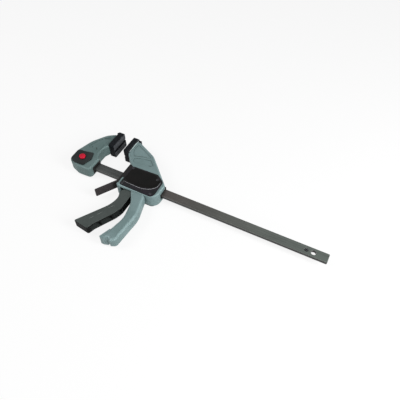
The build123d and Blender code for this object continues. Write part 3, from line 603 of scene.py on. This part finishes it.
def jaw_panels():
    """Panels in the fixed jaw's faces; the front one has the button's hole."""
    front_sink = 0.5  # into the jaw, below the node that it replaces
    front_bevel, rear_bevel = 0.8, 0.4
    low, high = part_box("fixed_jaw_panel")[0][2] / MM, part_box("fixed_jaw_panel")[1][2] / MM
    button_low, button_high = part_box("jaw_button")
    hole_x = (button_low[0] + button_high[0]) / 2 / MM
    hole = circle_ring(hole_x, 0, button_diameter / 2 + button_play)
    front = plate("fixed_jaw_front_plate", [rounded_ring(front_panel_outline), hole],
                  low - front_sink, high, panel_black, "bar_and_fixed_jaw", front_bevel)
    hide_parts("fixed_jaw_panel")
    low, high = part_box("fixed_jaw_back_panel")[0][2] / MM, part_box("fixed_jaw_back_panel")[1][2] / MM
    rear = plate("fixed_jaw_rear_plate", [rounded_ring(back_panel_outline)], high, low, panel_black,
                 "bar_and_fixed_jaw", rear_bevel)
    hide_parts("fixed_jaw_back_panel")


def jaw_front_bead():
    """Moulded bead along the moving jaw's front edge, behind its pad, pale as a painted highlight."""
    radius, rise = 1.2, 0.2
    line = [(13.6, 52), (13.4, 60), (13.4, 72), (13.4, 80), (13.8, 86)]
    for side, label in ((1, "jaw_front_bead"), (-1, "jaw_front_bead_below")):
        rod(label, lifted(line, side * (casing_face + rise), face_x), radius,
            jaw_bead_highlight, "sliding_body")


def trigger_ribs():
    """Three short fine ribs along the trigger's flat faces, painted pale grey as a highlight."""
    radius, sink = 0.5, 0.15
    runs = [
        [(34.6, -115.0), (37.1, -111.7), (39.4, -107.6)],
        [(42.7, -101.7), (45.4, -97.2), (48.0, -92.1)],
        [(51.9, -80.7), (54.8, -75.8), (58.1, -70.7)],
    ]
    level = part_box("trigger")[1][2] / MM
    for side, place in ((1, "front"), (-1, "rear")):
        for number, run in enumerate(runs, 1):
            rod(f"trigger_rib_{place}_{number}", lifted(run, side * (level - sink), face_x), radius,
                rib_highlight_grey, "trigger_arm")


def handle_lip():
    """Lip at the foot of the handle's front edge, with rounded shoulders."""
    inset, bevel = 4.2, 3.2
    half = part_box("upper_shell")[1][2] / MM - inset
    lip = [(73.6, -139.2, 0.8), (79.5, -139.4, 1.5), (88, -136.8, 1.5), (88, -118, 2), (81.6, -118, 1)]
    plate("handle_lip", [body_ring(lip)], -half, half, casing, "sliding_body", bevel)


def moulded_marks():
    """Fine grooves and ribs moulded into the faces of the two jaws, coloured dark as painted shade."""
    radius = 1.0
    moving_sink, fixed_sink = 0.4, 0.8  # of a mark's middle below its face
    moving = {
        "jaw_groove_long": [(24.5, 47.6), (33, 49.8), (42, 52.6), (52, 54.4), (58.5, 55.4)],
        "jaw_groove_short": [(66, 37.4), (71, 38.6), (76, 41.2)],
        "jaw_groove_tip": [(17.9, 72.5), (18.3, 76), (19, 79)],
    }
    fixed = {
        "fixed_jaw_groove": [(-32.3, 35.9), (-28, 30.6), (-23.4, 24.4)],
        "fixed_jaw_rib": [(-30.7, 63.5), (-24, 67.4), (-16.5, 71.7)],
        "fixed_jaw_dot": [(-41.2, 33), (-40.4, 33.4), (-39.6, 33.8)],
    }
    for side, end in ((1, ""), (-1, "_below")):
        for name, points in moving.items():
            rod(name + end, lifted(points, side * (pocket_face - moving_sink), face_x), radius,
                mark_painted_shade, "sliding_body")
        for name, points in fixed.items():
            rod(name + end, lifted(points, side * (fixed_jaw_face - fixed_sink)), radius,
                mark_painted_shade, "bar_and_fixed_jaw")


cover(1, "cover_front", "upper_cover")
cover(-1, "cover_rear", "lower_cover")
saddle(1, "front_saddle")
saddle(-1, "rear_saddle")
jaw_panels()
moulded_marks()
jaw_front_bead()
trigger_ribs()
handle_lip()

# ------------------------------------------------------------------ floor, light and camera

floor_level = cad_box[0][2] - 0.2 * MM
floor_size = 8
floor_middle = (0.2, 0, floor_level)
floor_colour = (0.92, 0.92, 0.92, 1)
floor_glow = 0.85  # share of the floor that is even white where it is seen
world_light = 0.2  # on the object; the white that is seen has strength 1


def seen(tree):
    """1 for the rays that show the white surroundings: from the camera, in gloss and through glass."""
    path = tree.nodes.new("ShaderNodeLightPath")
    total = path.outputs["Is Camera Ray"]
    for ray in ("Is Glossy Ray", "Is Transmission Ray"):
        either = tree.nodes.new("ShaderNodeMath")
        either.operation = "MAXIMUM"
        tree.links.new(total, either.inputs[0])
        tree.links.new(path.outputs[ray], either.inputs[1])
        total = either.outputs[0]
    return total


def floor_material(name):
    """White floor that keeps a soft shadow: part plain diffuse, part even white where it is seen."""
    s = Surface(name)
    surface = s.finish(floor_colour, 0.9, Specular_IOR_Level=0.0)
    even = s.add("ShaderNodeEmission")
    mixed = s.add("ShaderNodeMixShader")
    output = s.tree.nodes["Material Output"]
    s.link(s.math("MULTIPLY", seen(s.tree), floor_glow), mixed.inputs[0])
    s.link(s.shader.outputs[0], mixed.inputs[1])
    s.link(even.outputs[0], mixed.inputs[2])
    s.link(mixed.outputs[0], output.inputs["Surface"])
    return surface


bpy.ops.mesh.primitive_plane_add(size=floor_size, location=floor_middle)
floor = bpy.context.object
floor.name = "floor"
floor.data.materials.append(floor_material("floor_white"))


def area_light(name, place, size, power):
    data = bpy.data.lights.new(name, "AREA")
    data.shape = "RECTANGLE"
    data.size, data.size_y = size
    data.energy = power
    lamp = bpy.data.objects.new(name, data)
    bpy.context.scene.collection.objects.link(lamp)
    lamp.location = place
    lamp.rotation_euler = (lamp_aim - Vector(place)).to_track_quat("-Z", "Y").to_euler()


lamp_aim = Vector((0.16, 0, 0))
lamps = {  # place, size and watts
    "key": ((-0.75, -0.55, 1.25), (0.8, 0.8), 10),
    "right": ((1.25, -0.1, 0.7), (0.4, 0.7), 15),
    "front": ((0.5, -1.5, 0.7), (1.6, 0.6), 5.5),
}
for lamp_name, (lamp_place, lamp_size, lamp_power) in lamps.items():
    area_light(lamp_name, lamp_place, lamp_size, lamp_power)

world = bpy.data.worlds.new("studio")
bpy.context.scene.world = world
world.use_nodes = True
tree = world.node_tree
background = tree.nodes["Background"]
background.inputs["Color"].default_value = (1, 1, 1, 1)
strength = tree.nodes.new("ShaderNodeMapRange")
strength.inputs["To Min"].default_value = world_light
strength.inputs["To Max"].default_value = 1.0
tree.links.new(seen(tree), strength.inputs["Value"])
tree.links.new(strength.outputs["Result"], background.inputs["Strength"])

# the camera as solved from the photo
camera_azimuth = radians(26.596)
camera_elevation = radians(51.571)
camera_roll = radians(0.139)
camera_aim = Vector((211.98, 17.10, 0)) * MM
camera_distance = 782.83 * MM
focal_px = 420.0
frame_px = 400.0

back = Vector((sin(camera_azimuth) * cos(camera_elevation), -cos(camera_azimuth) * cos(camera_elevation),
               sin(camera_elevation)))
right = Vector((cos(camera_azimuth), sin(camera_azimuth), 0))
turned = Matrix.Rotation(camera_roll, 3, back) @ right
up = back.cross(turned)
camera_data = bpy.data.cameras.new("photo_camera")
camera_data.sensor_width = 36.0
camera_data.lens = camera_data.sensor_width * focal_px / frame_px
camera = bpy.data.objects.new("photo_camera", camera_data)
bpy.context.scene.collection.objects.link(camera)
turn = Matrix((turned, up, back)).transposed().to_4x4()
camera.matrix_world = Matrix.Translation(camera_aim + back * camera_distance) @ turn
bpy.context.scene.camera = camera
bpy.context.scene.view_settings.view_transform = "Standard"
